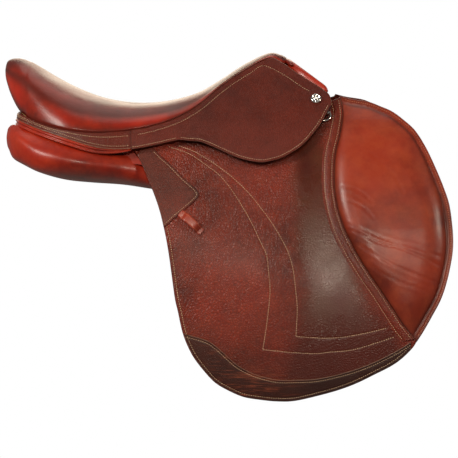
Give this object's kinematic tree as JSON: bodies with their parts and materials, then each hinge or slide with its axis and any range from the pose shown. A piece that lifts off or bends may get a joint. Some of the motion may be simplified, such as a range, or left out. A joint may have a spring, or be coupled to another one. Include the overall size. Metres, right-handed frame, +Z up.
{
  "type": "jumping saddle",
  "caption": "English close-contact jumping saddle with forward flaps, padded knee, deep seat and stuffed panels; flaps and skirts lift, with stirrup bars and girth straps under them.",
  "frame": {"origin": "middle of the gullet channel, at the height where the panels bear on a horse's back or rack", "axes": "+X forward (pommel), +Y to the saddle's left (near) side, +Z up; the right (off) side is at -Y"},
  "size_m": [0.624, 0.396, 0.4733],
  "materials": {
    "seat_leather": "smooth calf, semi-gloss",
    "panel_leather": "smooth calf, semi-gloss",
    "flap_leather": "grained, satin",
    "skirt_leather": "fine grain, satin",
    "strap_leather": "smooth, satin",
    "wood": "varnished laminate",
    "steel": "satin",
    "chrome": "polished",
    "webbing": "woven",
    "foam": "matte"
  },
  "bodies": {
    "saddle": {"tree": "wood", "head_plate": "steel", "gullet_plate": "steel", "tree_rivets": "steel", "seat_webbing": "webbing", "seat_foam": "foam", "seat_cover": "seat_leather", "pommel_facing": "panel_leather", "cantle_band": "skirt_leather", "rear_welt": "panel_leather", "catch_pins": "steel", "bar_rivets": "steel", "right_spring": "steel", "right_upper_skirt": "skirt_leather", "right_panel": "panel_leather", "right_flap_head": "flap_leather", "right_skirt_stud": "chrome", "right_stirrup_bar": "steel", "right_sweat_flap": "strap_leather", "right_knee_block": "panel_leather", "right_billet_web": "webbing", "left_spring": "steel", "left_upper_skirt": "skirt_leather", "left_panel": "panel_leather", "left_flap_head": "flap_leather", "left_skirt_stud": "chrome", "left_stirrup_bar": "steel", "left_sweat_flap": "strap_leather", "left_knee_block": "panel_leather", "left_billet_web": "webbing"},
    "right_flap_body": {"right_flap": "flap_leather", "right_rear_patch": "flap_leather", "right_lower_guard": "flap_leather", "right_keeper": "panel_leather", "right_knee_pad": "panel_leather", "right_dee_tab": "strap_leather"},
    "right_skirt_body": {"right_skirt_lobe": "skirt_leather"},
    "right_dee_body": {"right_dee": "chrome"},
    "right_catch_body": {"right_bar_catch": "steel"},
    "right_billet_front_body": {"right_billet_front": "strap_leather"},
    "right_billet_middle_body": {"right_billet_middle": "strap_leather"},
    "right_billet_rear_body": {"right_billet_rear": "strap_leather"},
    "left_flap_body": {"left_flap": "flap_leather", "left_rear_patch": "flap_leather", "left_lower_guard": "flap_leather", "left_keeper": "panel_leather", "left_knee_pad": "panel_leather", "left_dee_tab": "strap_leather"},
    "left_skirt_body": {"left_skirt_lobe": "skirt_leather"},
    "left_dee_body": {"left_dee": "chrome"},
    "left_catch_body": {"left_bar_catch": "steel"},
    "left_billet_front_body": {"left_billet_front": "strap_leather"},
    "left_billet_middle_body": {"left_billet_middle": "strap_leather"},
    "left_billet_rear_body": {"left_billet_rear": "strap_leather"}
  },
  "joints": [
    {"name": "right_flap_lift", "type": "hinge", "parent": "saddle", "child": "right_flap_body", "pos_m": [0, -0.10547, 0.09311], "axis": [-0.9663, -0.1417, -0.2147], "range_deg": [0, 90]},
    {"name": "right_skirt_lift", "type": "hinge", "parent": "right_flap_body", "child": "right_skirt_body", "pos_m": [0, -0.10547, 0.09311], "axis": [-0.9663, -0.1417, -0.2147], "range_deg": [0, 45]},
    {"name": "right_dee_swing", "type": "hinge", "parent": "right_flap_body", "child": "right_dee_body", "pos_m": [0.133, -0.08402, 0.11267], "axis": [0.9691, 0.1327, 0.2082], "range_deg": [-4, 4]},
    {"name": "right_catch_turn", "type": "hinge", "parent": "saddle", "child": "right_catch_body", "pos_m": [0.01584, -0.08037, 0.11619], "axis": [-0.0225, 0.8408, -0.5409], "range_deg": [0, 60]},
    {"name": "right_billet_front_swing", "type": "hinge", "parent": "saddle", "child": "right_billet_front_body", "pos_m": [0.074, -0.08769, 0.07956], "axis": [0.0509, 0.9552, -0.2915], "range_deg": [-3, 3]},
    {"name": "right_billet_middle_swing", "type": "hinge", "parent": "saddle", "child": "right_billet_middle_body", "pos_m": [0.028, -0.09363, 0.06933], "axis": [0.0499, 0.9618, -0.2693], "range_deg": [-3, 3]},
    {"name": "right_billet_rear_swing", "type": "hinge", "parent": "saddle", "child": "right_billet_rear_body", "pos_m": [-0.018, -0.09951, 0.05911], "axis": [0.049, 0.9679, -0.2464], "range_deg": [-3, 3]},
    {"name": "left_flap_lift", "type": "hinge", "parent": "saddle", "child": "left_flap_body", "pos_m": [0, 0.10547, 0.09311], "axis": [0.9663, -0.1417, 0.2147], "range_deg": [0, 90]},
    {"name": "left_skirt_lift", "type": "hinge", "parent": "left_flap_body", "child": "left_skirt_body", "pos_m": [0, 0.10547, 0.09311], "axis": [0.9663, -0.1417, 0.2147], "range_deg": [0, 45]},
    {"name": "left_dee_swing", "type": "hinge", "parent": "left_flap_body", "child": "left_dee_body", "pos_m": [0.133, 0.08402, 0.11267], "axis": [-0.9691, 0.1327, -0.2082], "range_deg": [-4, 4]},
    {"name": "left_catch_turn", "type": "hinge", "parent": "saddle", "child": "left_catch_body", "pos_m": [0.01584, 0.08037, 0.11619], "axis": [0.0225, 0.8408, 0.5409], "range_deg": [0, 60]},
    {"name": "left_billet_front_swing", "type": "hinge", "parent": "saddle", "child": "left_billet_front_body", "pos_m": [0.074, 0.08769, 0.07956], "axis": [-0.0509, 0.9552, 0.2915], "range_deg": [-3, 3]},
    {"name": "left_billet_middle_swing", "type": "hinge", "parent": "saddle", "child": "left_billet_middle_body", "pos_m": [0.028, 0.09363, 0.06933], "axis": [-0.0499, 0.9618, 0.2693], "range_deg": [-3, 3]},
    {"name": "left_billet_rear_swing", "type": "hinge", "parent": "saddle", "child": "left_billet_rear_body", "pos_m": [-0.018, 0.09951, 0.05911], "axis": [-0.049, 0.9679, 0.2464], "range_deg": [-3, 3]}
  ]
}
